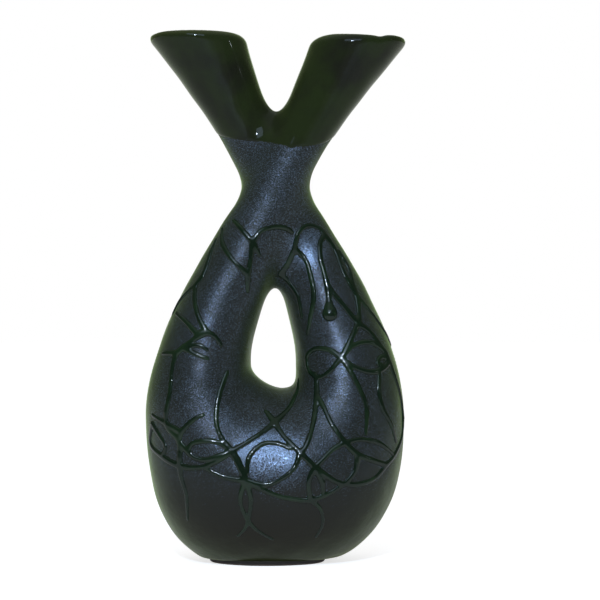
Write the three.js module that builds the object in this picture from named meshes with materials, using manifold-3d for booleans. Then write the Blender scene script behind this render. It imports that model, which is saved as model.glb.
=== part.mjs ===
// A twin-mouth ceramic flower vase. One fat hollow ribbon of clay starts at the right mouth, passes the
// waist in front, runs down the left limb, swells into the belly, climbs the right limb, passes the waist
// behind and ends at the left mouth. A drop-shaped loop stays open between the two limbs.
// Millimetres, +Z up, the front of the vase towards -Y, the origin under the middle of the foot.

import * as THREE from 'three';
import { mergeVertices } from 'three/addons/utils/BufferGeometryUtils.js';
import Module from 'manifold-3d';

// Heights above the table
const LEFT_RIM_HEIGHT = 300;
const RIGHT_RIM_HEIGHT = 299;
const RIGHT_RIM_DROP = 3;           // the right rim falls this much towards its outer end
const DIP_HEIGHT = 240;             // the glossy glaze ends here, where the mouths were dipped
const WAIST_HEIGHT = 212.5;
const LOOP_SIDE_HEIGHT = 112.5;     // where the open loop is widest
const LOOP_BOTTOM_HEIGHT = 99;
const BELLY_HEIGHT = 83;            // where the belly is widest
const BELLY_SAG = 4.5;              // how far below the table the round belly would reach without its foot
const DIP_TILT = 20;                // degrees; the dip line falls towards the front

// Widths, each from the middle plane
const LEFT_MOUTH_REACH = 74;
const RIGHT_MOUTH_REACH = 75;
const LEFT_NOTCH = 18;
const RIGHT_NOTCH = 21.5;
const WAIST_OUTER_REACH = 17;       // of a ribbon's edge towards its own limb
const WAIST_INNER_REACH = 17.5;     // and of the edge towards the loop
const BELLY_REACH = 73.5;
const LOOP_LEFT_REACH = 13.8;
const LOOP_RIGHT_REACH = 11.7;
const LOOP_BOTTOM_OFFSET = 3.5;     // the loop's lowest point leans this far to the right
const BASE_OFFSET = -8;             // the belly's lowest point leans this far to the left
const FOOT_OFFSET = -4.5;           // and the middle of the foot this far

// Half depths of the ribbon, front to back
const MOUTH_HALF_DEPTH = 25.5;
const WAIST_HALF_DEPTH = 15.5;
const BELLY_HALF_DEPTH = 45;
const CROSSING_OFFSET = 6.5;        // how far each ribbon passes before or behind the other at the waist

// Clay and glaze
const WALL = 5;
const LIP_OUTER_RADIUS = 3.2;
const LIP_INNER_RADIUS = 1.8;
const FLOOR = 6;
const JOINT_FILLET = 14;            // reach of the clay smoothed into the joints where the ribbons cross
const NOTCH_FILLET = 17;            // and at the bottom of the notch between the mouths
const GLAZE_THICKNESS = 0.4;        // the dipped glaze stands this proud of the bare body
const SEAM_CLEARANCE = 4;           // the limbs' luted seams lie this far inside the ends of the open loop
const FOOT_HEIGHT = 2.5;
const FOOT_REACH = 34;
const FOOT_HALF_DEPTH = 23;
const FOOT_BAND = 7;                // width of the ring that touches the table
const TRAIL_WIDTH = 3;
const TRAIL_HEIGHT = 1.4;
const TRAIL_CLEARANCE = 0.55;       // between the clay and the raised glaze
const DRIP_RADIUS = 3.2;
const DRIP_HEIGHT = 2.5;

// How the two edges of the ribbon lean from straight down, in degrees, and how long they hold each lean
const NOTCH_ANGLE = 17;
const NOTCH_HOLD = 10;
const FLARE_ANGLE = 40;
const FLARE_HOLD = 45;
const OUTER_WAIST_ANGLE = 30;
const OUTER_NECK_HOLD = 45;
const OUTER_LIMB_HOLD = 16.7;
const INNER_WAIST_ANGLE = 19.7;
const INNER_NECK_HOLD = 29.5;
const INNER_LIMB_HOLD = 58.7;
const FLANK_HOLD = 50.6;
const BASE_CURVE_HOLD = 66.5;
const BASE_LEFT_FLAT_HOLD = 39;
const BASE_RIGHT_FLAT_HOLD = 53;
const LOOP_UPPER_HOLD = 22.3;
const LOOP_CORNER_HOLD = 8;
const LOOP_LEFT_FLAT_HOLD = 4.2;
const LOOP_RIGHT_FLAT_HOLD = 9;
const NECK_FLARE_POWER = 2;         // how late the half depth opens towards a mouth
const LIMB_SWELL_POWER = 1.4;       // and how late it swells towards the belly
const CROSSING_FADE = 1.2;          // the stations over which a neck swings back to the middle plane
const NOTCH_FILLET_RISE = 0.4;      // the stations above the waist over which the notch's fillet comes in

// Fineness of the facets
const OUTER_SIDES = 30;
const INNER_SIDES = 22;
const OUTER_STEPS = [12, 10, 8];    // from mouth to waist, from there to the belly side and to the middle
const INNER_STEPS = [7, 8, 8];
const LIP_STEPS = 3;
const LOOKUP_STEPS = 72;
const TRAIL_RING_SPACING = 7.5;
const ROUTE_STEPS = 6;              // points between two places of a stroke
const BEAD_CORNERS = 4;             // of a trail's half-round section
const DROP_SIDES = 10;
const DROP_STEPS = 3;
const FOOT_CURVE_STEPS = 20;

// Fineness of the searches, in millimetres
const PROBE_REACH = 0.05;
const SEARCH_STEP = 0.5;
const SETTLED = 0.01;
const SETTLE_ROUNDS = 4;

const HALF_TURN = Math.PI;
const LEFT_LIMB = { turn: 1 };
const RIGHT_LIMB = { turn: -1 };

// A station is a place along a ribbon: 0 at its mouth, 1 at the waist, 2 beside the loop and 3 in the
// middle of the belly, where the two ribbons run into each other without a joint.
const WAIST_STATION = 1;
const MIDDLE_STATION = 3;
const FILLET_FADE_START = 1.8;
const FILLET_FADE_END = 2.3;

// A knot of an edge: its place in the front view, its lean, and how long the edge holds it on each side.
function knot(x, z, lean, before, after) {
  const slope = THREE.MathUtils.degToRad(lean);
  const heading = new THREE.Vector2(-Math.sin(slope), -Math.cos(slope));
  const place = new THREE.Vector2(x, z);
  return {
    place,
    arrive: place.clone().addScaledVector(heading, -before),
    leave: place.clone().addScaledVector(heading, after),
  };
}

function edge(knots) {
  return knots.slice(1).map((next, i) =>
    new THREE.CubicBezierCurve(knots[i].place, knots[i].leave, next.arrive, next.place));
}

function pointOnEdge(stretches, station) {
  const index = Math.min(Math.floor(station), stretches.length - 1);
  return stretches[index].getPoint(station - index);
}

// One ribbon in its own frame: its limb towards -X, its waist passing in front, towards -Y. The right
// limb's ribbon is drawn the same way and turned half round the upright axis.
function makeRibbon(limb, sizes) {
  const outer = edge([
    knot(sizes.notch, sizes.rimHeight, NOTCH_ANGLE, 0, NOTCH_HOLD),
    knot(-WAIST_OUTER_REACH, WAIST_HEIGHT, OUTER_WAIST_ANGLE, OUTER_NECK_HOLD, OUTER_LIMB_HOLD),
    knot(-BELLY_REACH, BELLY_HEIGHT, 0, FLANK_HOLD, BASE_CURVE_HOLD),
    knot(sizes.baseLowest, -BELLY_SAG, -90, sizes.baseFlatHold, 0),
  ]);
  const inner = edge([
    knot(sizes.mouthReach, sizes.rimHeight - sizes.rimDrop, FLARE_ANGLE, 0, FLARE_HOLD),
    knot(WAIST_INNER_REACH, WAIST_HEIGHT, INNER_WAIST_ANGLE, INNER_NECK_HOLD, INNER_LIMB_HOLD),
    knot(-sizes.loopReach, LOOP_SIDE_HEIGHT, 0, LOOP_UPPER_HOLD, LOOP_CORNER_HOLD),
    knot(sizes.loopBottom, LOOP_BOTTOM_HEIGHT, -90, sizes.loopFlatHold, 0),
  ]);
  return { turn: limb.turn, outer, inner };
}

// The half depth is least at the waist, opens like a bell to the mouth and swells evenly to the belly.
function halfDepth(station) {
  if (station < WAIST_STATION) {
    const opening = (WAIST_STATION - station) ** NECK_FLARE_POWER;
    return THREE.MathUtils.lerp(WAIST_HALF_DEPTH, MOUTH_HALF_DEPTH, opening);
  }
  const share = (station - WAIST_STATION) / (MIDDLE_STATION - WAIST_STATION);
  const swelling = Math.sin(share * HALF_TURN / 2) ** LIMB_SWELL_POWER;
  return THREE.MathUtils.lerp(WAIST_HALF_DEPTH, BELLY_HALF_DEPTH, swelling);
}

function crossingOffset(station) {
  const reach = station < WAIST_STATION ? CROSSING_FADE : MIDDLE_STATION - WAIST_STATION;
  const share = Math.min(Math.abs(station - WAIST_STATION) / reach, 1);
  return -CROSSING_OFFSET * Math.cos(share * HALF_TURN / 2) ** 2;
}

function section(ribbon, station) {
  const outer = pointOnEdge(ribbon.outer, station);
  const inner = pointOnEdge(ribbon.inner, station);
  const across = outer.clone().sub(inner);
  const halfWidth = across.length() / 2;
  return {
    centre: outer.add(inner).multiplyScalar(0.5),
    across: across.normalize(),
    halfWidth,
    halfDepth: halfDepth(station),
    offset: crossingOffset(station),
  };
}

// A point of the ribbon's skin. The angle runs from the outer edge at 0 over the front face of the ribbon
// to the inner edge at half a turn; inset moves the point into the clay.
function skinPoint(ribbon, station, angle, inset) {
  const cut = section(ribbon, station);
  const along = (cut.halfWidth - inset) * Math.cos(angle);
  return new THREE.Vector3(
    ribbon.turn * (cut.centre.x + cut.across.x * along),
    ribbon.turn * (cut.offset - (cut.halfDepth - inset) * Math.sin(angle)),
    cut.centre.y + cut.across.y * along,
  );
}

// A closed solid through rings of equally many points, with a fan of facets over each end.
function loft(rings) {
  const sides = rings[0].length;
  const points = rings.flat();
  const index = [];
  rings.slice(1).forEach((ring, i) => {
    for (let j = 0; j < sides; j++) {
      const a = i * sides + j;
      const b = i * sides + (j + 1) % sides;
      index.push(a, b, b + sides, a, b + sides, a + sides);
    }
  });
  [[0, 1], [rings.length - 1, -1]].forEach(([row, direction]) => {
    const centre = rings[row].reduce((sum, p) => sum.add(p), new THREE.Vector3()).divideScalar(sides);
    points.push(centre);
    for (let j = 0; j < sides; j++) {
      const pair = [row * sides + (j + 1) % sides, row * sides + j];
      index.push(points.length - 1, ...(direction > 0 ? pair : pair.reverse()));
    }
  });
  const geometry = new THREE.BufferGeometry().setFromPoints(points);
  geometry.setIndex(index);
  return geometry;
}

function enclosedVolume(geometry) {
  const position = geometry.attributes.position;
  const index = geometry.index;
  const [a, b, c] = [new THREE.Vector3(), new THREE.Vector3(), new THREE.Vector3()];
  let volume = 0;
  for (let i = 0; i < index.count; i += 3) {
    a.fromBufferAttribute(position, index.getX(i));
    b.fromBufferAttribute(position, index.getX(i + 1));
    c.fromBufferAttribute(position, index.getX(i + 2));
    volume += a.dot(b.cross(c)) / 6;
  }
  return volume;
}

const wasm = await Module();
wasm.setup();

function toSolid(geometry) {
  const bare = geometry.clone();
  bare.deleteAttribute('normal');
  bare.deleteAttribute('uv');
  const merged = mergeVertices(bare, 1e-5);
  const triangles = Uint32Array.from(merged.index.array);
  if (enclosedVolume(merged) < 0) {
    triangles.reverse();
  }
  return new wasm.Manifold(new wasm.Mesh({
    numProp: 3,
    vertProperties: Float32Array.from(merged.attributes.position.array),
    triVerts: triangles,
  }));
}

function toGeometry(solid) {
  const mesh = solid.getMesh();
  const geometry = new THREE.BufferGeometry();
  geometry.setAttribute('position', new THREE.BufferAttribute(Float32Array.from(mesh.vertProperties), 3));
  geometry.setIndex(Array.from(mesh.triVerts));
  return geometry;
}

// Block between two corners, used to cut the clay along a plane.
function block(low, high) {
  const size = high.clone().sub(low);
  const box = new THREE.BoxGeometry(size.x, size.y, size.z);
  box.translate(low.x + size.x / 2, low.y + size.y / 2, low.z + size.z / 2);
  return toSolid(box);
}

// Far enough to lie outside the vase on every side
const SPACE = 2 * (LEFT_RIM_HEIGHT + BELLY_REACH + BELLY_HALF_DEPTH);

function slab(lowZ, highZ) {
  return block(new THREE.Vector3(-SPACE, -SPACE, lowZ), new THREE.Vector3(SPACE, SPACE, highZ));
}

function sideOf(limb) {
  const far = -limb.turn * SPACE;
  const low = new THREE.Vector3(Math.min(far, 0), -SPACE, -SPACE);
  const high = new THREE.Vector3(Math.max(far, 0), SPACE, SPACE);
  return block(low, high);
}

const ribbons = {
  left: makeRibbon(LEFT_LIMB, {
    notch: RIGHT_NOTCH,
    rimHeight: RIGHT_RIM_HEIGHT,
    rimDrop: RIGHT_RIM_DROP,
    mouthReach: RIGHT_MOUTH_REACH,
    loopReach: LOOP_LEFT_REACH,
    loopBottom: LOOP_BOTTOM_OFFSET,
    loopFlatHold: LOOP_LEFT_FLAT_HOLD,
    baseLowest: BASE_OFFSET,
    baseFlatHold: BASE_LEFT_FLAT_HOLD,
  }),
  right: makeRibbon(RIGHT_LIMB, {
    notch: LEFT_NOTCH,
    rimHeight: LEFT_RIM_HEIGHT,
    rimDrop: 0,
    mouthReach: LEFT_MOUTH_REACH,
    loopReach: LOOP_RIGHT_REACH,
    loopBottom: -LOOP_BOTTOM_OFFSET,
    loopFlatHold: LOOP_RIGHT_FLAT_HOLD,
    baseLowest: -BASE_OFFSET,
    baseFlatHold: BASE_RIGHT_FLAT_HOLD,
  }),
};

// Section lines of both ribbons, close together, for finding the section on which a point lies.
const lookups = Object.values(ribbons).map((ribbon) => {
  const cuts = [];
  for (let i = 0; i <= LOOKUP_STEPS; i++) {
    cuts.push(section(ribbon, MIDDLE_STATION * i / LOOKUP_STEPS));
  }
  return { turn: ribbon.turn, cuts };
});

// Signed distance, near enough, from a point to one ribbon's skin at an inset, and the station it lies at.
function distanceToRibbon(lookup, point, inset) {
  const x = lookup.turn * point.x;
  const y = lookup.turn * point.y;
  let best = { distance: Infinity, station: MIDDLE_STATION };
  let before = null;
  lookup.cuts.forEach((cut, i) => {
    const dx = x - cut.centre.x;
    const dz = point.z - cut.centre.y;
    const past = dx * cut.across.y - dz * cut.across.x;
    const along = dx * cut.across.x + dz * cut.across.y;
    if (before && past * before.past <= 0 && past !== before.past) {
      const share = before.past / (before.past - past);
      const halfWidth = THREE.MathUtils.lerp(before.cut.halfWidth, cut.halfWidth, share) - inset;
      const depth = THREE.MathUtils.lerp(before.cut.halfDepth, cut.halfDepth, share) - inset;
      const s = THREE.MathUtils.lerp(before.along, along, share);
      const d = y - THREE.MathUtils.lerp(before.cut.offset, cut.offset, share);
      const level = Math.hypot(s / halfWidth, d / depth);
      const steepness = Math.hypot(s / halfWidth ** 2, d / depth ** 2) / Math.max(level, 1e-6);
      const distance = (level - 1) / Math.max(steepness, 1e-6);
      if (distance < best.distance) {
        best = { distance, station: MIDDLE_STATION * (i - 1 + share) / LOOKUP_STEPS };
      }
    }
    before = { cut, past, along };
  });
  return best;
}

// Distance to both ribbons together, with their crossing smoothed over by the fillet, which is wider at the
// notch and fades out beside the loop.
function distanceToBody(point, inset) {
  const [one, other] = lookups.map((lookup) => distanceToRibbon(lookup, point, inset));
  const nearest = Math.min(one.distance, other.distance);
  if (!Number.isFinite(one.distance) || !Number.isFinite(other.distance)) {
    return nearest;
  }
  const lower = Math.max(one.station, other.station);
  const nearNotch = THREE.MathUtils.smoothstep(WAIST_STATION - lower, 0, NOTCH_FILLET_RISE);
  const fading = THREE.MathUtils.smoothstep(lower, FILLET_FADE_START, FILLET_FADE_END);
  const reach = THREE.MathUtils.lerp(JOINT_FILLET, NOTCH_FILLET, nearNotch) * (1 - fading);
  if (reach < SETTLED) {
    return nearest;
  }
  const closeness = Math.max(reach - Math.abs(one.distance - other.distance), 0) / reach;
  return nearest - closeness ** 2 * reach / 4;
}

function slopeAt(point, inset) {
  const difference = (axis) => {
    const ahead = point.clone();
    const behind = point.clone();
    ahead[axis] += PROBE_REACH;
    behind[axis] -= PROBE_REACH;
    return (distanceToBody(ahead, inset) - distanceToBody(behind, inset)) / (2 * PROBE_REACH);
  };
  return new THREE.Vector3(difference('x'), difference('y'), difference('z'));
}

// Moves a point of the joined ribbons out to the smoothed skin, where a joint is near.
function smoothed(point, inset) {
  const moved = point.clone();
  for (let round = 0; round < SETTLE_ROUNDS; round++) {
    const distance = distanceToBody(moved, inset);
    const slope = slopeAt(moved, inset);
    const steepness = slope.lengthSq();
    if (!(distance < -SETTLED) || !(steepness > SETTLED)) {
      break;
    }
    moved.addScaledVector(slope, -distance / steepness);
  }
  return moved.distanceTo(point) < JOINT_FILLET ? moved : point;
}

// Both ribbons joined into one body, then smoothed at their joints. endRings close the mouth end: each has
// its own inset, at a depth below the rim or, with a negative depth, above it.
function joinedRibbons(inset, sides, steps, endRings) {
  const halves = Object.values(ribbons).map((ribbon) => {
    const mouthLength = pointOnEdge(ribbon.outer, 0).distanceTo(pointOnEdge(ribbon.outer, WAIST_STATION));
    const stations = endRings.map((ring) => ({
      station: Math.max(ring.depth, 0) / mouthLength,
      inset: ring.inset,
      lift: Math.max(-ring.depth, 0),
    }));
    steps.forEach((count, stretch) => {
      const first = stretch === 0 ? 1 : 0;
      for (let i = first; i < count; i++) {
        stations.push({ station: stretch + i / count, inset, lift: 0 });
      }
    });
    stations.push({ station: MIDDLE_STATION, inset, lift: 0 });
    return toSolid(loft(stations.map((entry) => {
      const ring = [];
      for (let j = 0; j < sides; j++) {
        const point = skinPoint(ribbon, entry.station, 2 * HALF_TURN * j / sides, entry.inset);
        point.z += entry.lift;
        ring.push(point);
      }
      return ring;
    })));
  });
  const geometry = toGeometry(halves[0].add(halves[1]));
  const position = geometry.attributes.position;
  const rimClear = Math.min(LEFT_RIM_HEIGHT, RIGHT_RIM_HEIGHT - RIGHT_RIM_DROP) - 2 * WALL;
  for (let i = 0; i < position.count; i++) {
    const point = new THREE.Vector3().fromBufferAttribute(position, i);
    if (point.z < rimClear) {
      const moved = smoothed(point, inset);
      position.setXYZ(i, moved.x, moved.y, moved.z);
    }
  }
  return toSolid(geometry);
}

// Rings that round the lip, from a face of the wall to the top of the lip: a quarter circle that starts at
// the face's inset and turns into the clay.
function lipRings(face, direction, radius) {
  const rings = [];
  for (let i = LIP_STEPS; i >= 0; i--) {
    const angle = HALF_TURN / 2 * i / LIP_STEPS;
    rings.push({
      depth: radius * (1 - Math.sin(angle)),
      inset: face + direction * radius * (1 - Math.cos(angle)),
    });
  }
  return rings;
}

// The clay body's outer skin grown by some amount, and the hollow inside it.
function outerShape(growth) {
  return joinedRibbons(-growth, OUTER_SIDES, OUTER_STEPS, lipRings(-growth, 1, LIP_OUTER_RADIUS));
}

function hollowShape() {
  const lip = lipRings(WALL, -1, LIP_INNER_RADIUS);
  const above = { depth: -WALL, inset: lip[0].inset };
  return joinedRibbons(WALL, INNER_SIDES, INNER_STEPS, [above, ...lip])
    .intersect(slab(FOOT_HEIGHT + FLOOR, SPACE));
}

const hollow = hollowShape();
const clay = outerShape(0).subtract(hollow).intersect(slab(FOOT_HEIGHT, SPACE));
const dipped = outerShape(GLAZE_THICKNESS).subtract(hollow);

// The height at which the filled top of the open loop closes over.
function loopTop() {
  const probe = new THREE.Vector3(0, 0, LOOP_SIDE_HEIGHT);
  while (distanceToBody(probe, 0) > 0) {
    probe.z += SEARCH_STEP;
  }
  return probe.z;
}

const LOWER_SEAM = LOOP_BOTTOM_HEIGHT + SEAM_CLEARANCE;
const UPPER_SEAM = loopTop() - SEAM_CLEARANCE;

const limbs = clay.intersect(slab(LOWER_SEAM, UPPER_SEAM));
const aboveDip = slab(0, SPACE).rotate([DIP_TILT, 0, 0]).translate([0, 0, DIP_HEIGHT]);
const waist = clay.intersect(slab(UPPER_SEAM, SPACE)).subtract(aboveDip);
const mouths = dipped.intersect(aboveDip);

// The half of the mouths on a limb's side, without the splinters, thinner than a hair, that the cut leaves.
function mouthOn(limb) {
  const bodies = mouths.intersect(sideOf(limb)).decompose();
  return bodies.reduce((largest, body) => (body.volume() > largest.volume() ? body : largest));
}

// Raised glaze trails. Each stroke is drawn through places on the ribbon: how far along it, counting on
// from 0 at the right mouth over 3 in the middle of the belly to 6 at the left mouth, and the angle round
// it, in degrees: 0 at the outer edge, 90 down the front, 180 beside the loop and 270 down the back.
const FRONT_STROKES = [
  [[1.14, 38], [1.27, 75], [1.42, 106], [1.55, 114]],
  [[1.27, 75], [1.2, 98], [1.19, 124], [1.23, 148]],
  [[1.42, 106], [1.33, 60], [1.24, 24]],
  [[1.55, 114], [1.66, 98], [1.72, 78], [1.62, 56], [1.47, 34], [1.34, 14]],
  [[1.72, 78], [1.8, 52], [1.83, 24]],
  [[1.82, 44], [2, 38], [2.2, 34], [2.42, 30]],
  [[2.03, 14], [2.16, 36], [2.14, 66], [2.06, 88], [2, 122]],
  [[2, 122], [2.12, 112], [2.34, 101], [2.54, 97], [2.78, 87]],
  [[2.08, 12], [2.26, 33], [2.45, 68], [2.6, 74], [2.78, 87]],
  [[2.54, 97], [2.78, 114], [2.97, 126], [3.16, 138], [3.4, 160]],
  [[2.93, 138], [2.98, 124], [3.06, 114], [3.17, 106], [3.3, 97]],
  [[2.78, 87], [2.9, 66], [2.95, 48]],
  [[2.78, 87], [3.05, 81], [3.3, 77], [3.5, 77], [3.7, 80], [3.76, 48]],
  [[3.3, 97], [3.26, 84], [3.28, 72], [3.2, 54]],
  [[3.3, 97], [3.42, 112], [3.62, 118], [3.85, 124], [4, 134]],
  [[3.3, 97], [3.55, 93], [3.75, 94], [3.88, 82], [3.94, 52]],
  [[3.7, 80], [3.75, 94], [3.85, 124]],
  [[3.88, 82], [4, 78], [4.12, 90], [4.2, 105], [4.27, 122], [4.16, 148], [4.09, 130], [4.2, 105]],
  [[4.2, 105], [4.28, 76], [4.25, 46], [4.14, 38], [4.12, 62], [4.12, 90]],
  [[4.28, 76], [4.34, 58], [4.48, 38], [4.6, 44], [4.69, 46], [4.71, 58], [4.64, 74]],
  [[4.64, 74], [4.56, 94], [4.48, 108], [4.38, 124], [4.27, 122]],
  [[4.6, 44], [4.58, 66], [4.5, 80], [4.38, 92]],
];
const BACK_STROKES = [
  [[1.46, 268], [1.6, 282], [1.8, 290], [2, 284]],
  [[1.66, 214], [1.64, 234], [1.6, 258], [1.6, 282], [1.5, 318]],
  [[1.8, 290], [1.86, 318], [2.04, 336], [2.2, 324], [2.2, 298], [2, 284]],
  [[2, 284], [2.16, 262], [2.3, 240], [2.54, 232], [2.8, 240]],
  [[2.2, 298], [2.44, 290], [2.7, 282], [2.9, 272]],
  [[2.3, 240], [2.5, 258], [2.7, 282], [2.8, 306], [2.84, 320]],
  [[2.8, 240], [2.94, 254], [2.9, 272], [3.06, 288], [3.3, 294], [3.5, 286]],
  [[2.8, 240], [3.06, 236], [3.3, 244], [3.46, 262], [3.5, 286], [3.62, 312], [3.8, 330]],
  [[3.3, 294], [3.24, 314], [3.3, 326]],
  [[3.3, 244], [3.5, 232], [3.74, 226], [3.96, 232], [4.1, 250]],
  [[3.46, 262], [3.7, 264], [3.92, 268], [4.1, 250]],
  [[3.92, 268], [3.96, 296], [4.06, 322]],
  [[4.1, 250], [4.24, 262], [4.36, 284], [4.3, 310], [4.18, 300], [4.24, 262]],
  [[4.36, 284], [4.5, 268], [4.62, 278], [4.72, 300], [4.84, 284]],
  [[4.5, 268], [4.44, 240], [4.38, 214]],
];

function webPoint([along, degrees]) {
  const onLeft = along <= MIDDLE_STATION;
  const station = onLeft ? along : 2 * MIDDLE_STATION - along;
  const angle = THREE.MathUtils.degToRad(onLeft ? degrees : -degrees);
  return smoothed(skinPoint(onLeft ? ribbons.left : ribbons.right, station, angle, 0), 0);
}

// A bead of glaze along one stroke. It has a ring at each place of the stroke, where other strokes meet it.
function bead(stroke) {
  const places = stroke.map(([along, degrees]) => new THREE.Vector2(along, degrees));
  const route = new THREE.SplineCurve(places).getPoints(ROUTE_STEPS * (places.length - 1));
  const fine = route.map((place) => webPoint([place.x, place.y]));
  const centres = [fine[0]];
  for (let i = ROUTE_STEPS; i < fine.length; i += ROUTE_STEPS) {
    const stretch = new THREE.CatmullRomCurve3(fine.slice(i - ROUTE_STEPS, i + 1));
    const count = Math.max(Math.round(stretch.getLength() / TRAIL_RING_SPACING), 1);
    centres.push(...stretch.getSpacedPoints(count).slice(1));
  }
  return loft(centres.map((centre, i) => {
    const ahead = centres[Math.min(i + 1, centres.length - 1)];
    const behind = centres[Math.max(i - 1, 0)];
    const outward = slopeAt(centre, 0).normalize();
    const side = ahead.clone().sub(behind).cross(outward).normalize();
    const ring = [];
    for (let j = 0; j < BEAD_CORNERS; j++) {
      const angle = HALF_TURN * j / (BEAD_CORNERS - 1);
      ring.push(centre.clone()
        .addScaledVector(side, TRAIL_WIDTH / 2 * Math.cos(angle))
        .addScaledVector(outward, TRAIL_CLEARANCE + TRAIL_HEIGHT * Math.sin(angle)));
    }
    return ring;
  }));
}

// A run of glaze gathered in a drop before it froze.
function drop(place, radius, height) {
  const centre = webPoint(place);
  const outward = slopeAt(centre, 0).normalize();
  const dome = new THREE.Path().moveTo(0, 0).lineTo(radius, 0);
  dome.absellipse(0, 0, radius, height, 0, HALF_TURN / 2);
  const geometry = new THREE.LatheGeometry(dome.getPoints(DROP_STEPS), DROP_SIDES);
  geometry.applyQuaternion(new THREE.Quaternion().setFromUnitVectors(new THREE.Vector3(0, 1, 0), outward));
  centre.addScaledVector(outward, TRAIL_CLEARANCE);
  return geometry.translate(centre.x, centre.y, centre.z);
}

function trails(shapes) {
  return shapes.map(toSolid).reduce((sum, solid) => sum.add(solid));
}

const LONGEST_RUN = FRONT_STROKES[FRONT_STROKES.length - 1];
const frontTrails = trails([
  ...FRONT_STROKES.map(bead),
  drop(LONGEST_RUN[LONGEST_RUN.length - 1], DRIP_RADIUS, DRIP_HEIGHT),
]);
const backTrails = trails(BACK_STROKES.map(bead));

// Foot ring, an oval band under the belly with rounded lower edges.
function footRing() {
  const oval = (holder, reach, halfDepth) => {
    holder.absellipse(FOOT_OFFSET, 0, reach, halfDepth, 0, 2 * HALF_TURN);
  };
  const shape = new THREE.Shape();
  oval(shape, FOOT_REACH, FOOT_HALF_DEPTH);
  const hole = new THREE.Path();
  oval(hole, FOOT_REACH - FOOT_BAND, FOOT_HALF_DEPTH - FOOT_BAND);
  shape.holes.push(hole);
  const extent = { depth: FOOT_HEIGHT, bevelEnabled: false, curveSegments: FOOT_CURVE_STEPS };
  return new THREE.ExtrudeGeometry(shape, extent);
}

const matteGlaze = { color: 0x33363d, roughness: 0.5, metalness: 0.25 };
const glossGlaze = { color: 0x1d2416, roughness: 0.12, metalness: 0 };
const trailGlaze = { color: 0x14241c, roughness: 0.1, metalness: 0 };
const bareClay = { color: 0x5a4d42, roughness: 0.9, metalness: 0 };

function piece(name, geometry, look) {
  const mesh = new THREE.Mesh(geometry, new THREE.MeshStandardMaterial(look));
  mesh.name = name;
  return mesh;
}

const vase = new THREE.Group();
vase.add(
  piece('belly', toGeometry(clay.intersect(slab(0, LOWER_SEAM))), matteGlaze),
  piece('left_limb', toGeometry(limbs.intersect(sideOf(LEFT_LIMB))), matteGlaze),
  piece('right_limb', toGeometry(limbs.intersect(sideOf(RIGHT_LIMB))), matteGlaze),
  piece('waist', toGeometry(waist), matteGlaze),
  piece('left_mouth', toGeometry(mouthOn(LEFT_LIMB)), glossGlaze),
  piece('right_mouth', toGeometry(mouthOn(RIGHT_LIMB)), glossGlaze),
  piece('foot_ring', footRing(), bareClay),
  piece('front_trails', toGeometry(frontTrails), trailGlaze),
  piece('back_trails', toGeometry(backTrails), trailGlaze),
);

export default vase;
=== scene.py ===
import math

import bpy
import numpy as np
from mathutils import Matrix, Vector


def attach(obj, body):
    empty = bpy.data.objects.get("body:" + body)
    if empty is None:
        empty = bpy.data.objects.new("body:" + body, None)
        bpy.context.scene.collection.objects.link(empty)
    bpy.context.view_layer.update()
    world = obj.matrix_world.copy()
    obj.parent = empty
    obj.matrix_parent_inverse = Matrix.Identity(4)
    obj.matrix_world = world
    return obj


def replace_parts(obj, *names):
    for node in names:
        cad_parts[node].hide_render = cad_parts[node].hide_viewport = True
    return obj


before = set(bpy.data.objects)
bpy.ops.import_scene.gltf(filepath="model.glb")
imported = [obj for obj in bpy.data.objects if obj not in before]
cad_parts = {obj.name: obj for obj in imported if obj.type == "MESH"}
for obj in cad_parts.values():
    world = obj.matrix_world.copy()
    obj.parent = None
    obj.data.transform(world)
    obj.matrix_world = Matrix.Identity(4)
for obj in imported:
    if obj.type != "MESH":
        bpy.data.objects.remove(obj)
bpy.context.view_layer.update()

millimetre = 0.001

# Twin-mouth vase. Shapes are worked out in millimetres, in the frame's axes, and made into metres at the end.
# The ribbon of clay is drawn by its two edges in the front view, and each section spans from edge to edge.
vaseShape = {
    "leftRim": 300.0,
    "rightRim": 299.0,
    "rightRimDrop": 3.0,          # the right rim falls towards its outer end
    "dipLine": 242.6,
    "dipTilt": 20.0,              # degrees; the dip line falls towards the front
    "waistHeight": 212.5,
    "loopSideHeight": 112.5,
    "loopBottomHeight": 99.0,
    "bellyHeight": 83.0,
    "bellySag": 4.5,
    "leftMouthReach": 74.0,
    "rightMouthReach": 75.0,
    "leftNotch": 18.0,
    "rightNotch": 21.5,
    "waistOuterReach": 17.0,
    "waistInnerReach": 17.5,
    "bellyReach": 73.5,
    "loopLeftReach": 13.8,
    "loopRightReach": 11.7,
    "loopBottomOffset": 3.5,
    "baseOffset": -8.0,
    "footOffset": -4.5,
    "mouthHalfDepth": 25.5,
    "waistHalfDepth": 15.5,
    "bellyHalfDepth": 45.0,
    "crossingOffset": 6.5,
    "wall": 5.0,
    "lipOuterRadius": 5.5,
    "lipInnerRadius": 1.3,
    "floor": 6.0,
    "footHeight": 2.5,
    "jointFillet": 14.0,
    "notchFillet": 17.0,
    "glazeThickness": 0.4,
    "glazeOverlap": 3.0,          # how far the body runs on inside the glaze, and the glaze below its line
    "glazeDive": 0.8,             # how deep the glaze dives into the clay below its line
    "glazeFade": (-1.2, 1.0),     # heights from its line over which it does
    "handWobble": 0.25,
    "limbSwellPower": 1.4,        # how late the half depth swells towards the belly
    "neckFlarePower": 2,          # and how late it opens towards a mouth
    "crossingFade": 1.2,          # stations over which a neck swings back to the middle plane
    "notchFilletRise": 0.4,       # stations above the waist over which the notch's fillet comes in
    "filletFade": (1.8, 2.3),     # stations over which the joints' fillet fades out
    "floorCorner": 5.0,           # radius inside, where the wall meets the floor
    "bottomCorner": 1.2,          # and outside, at the edge of the flat bottom
}

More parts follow.
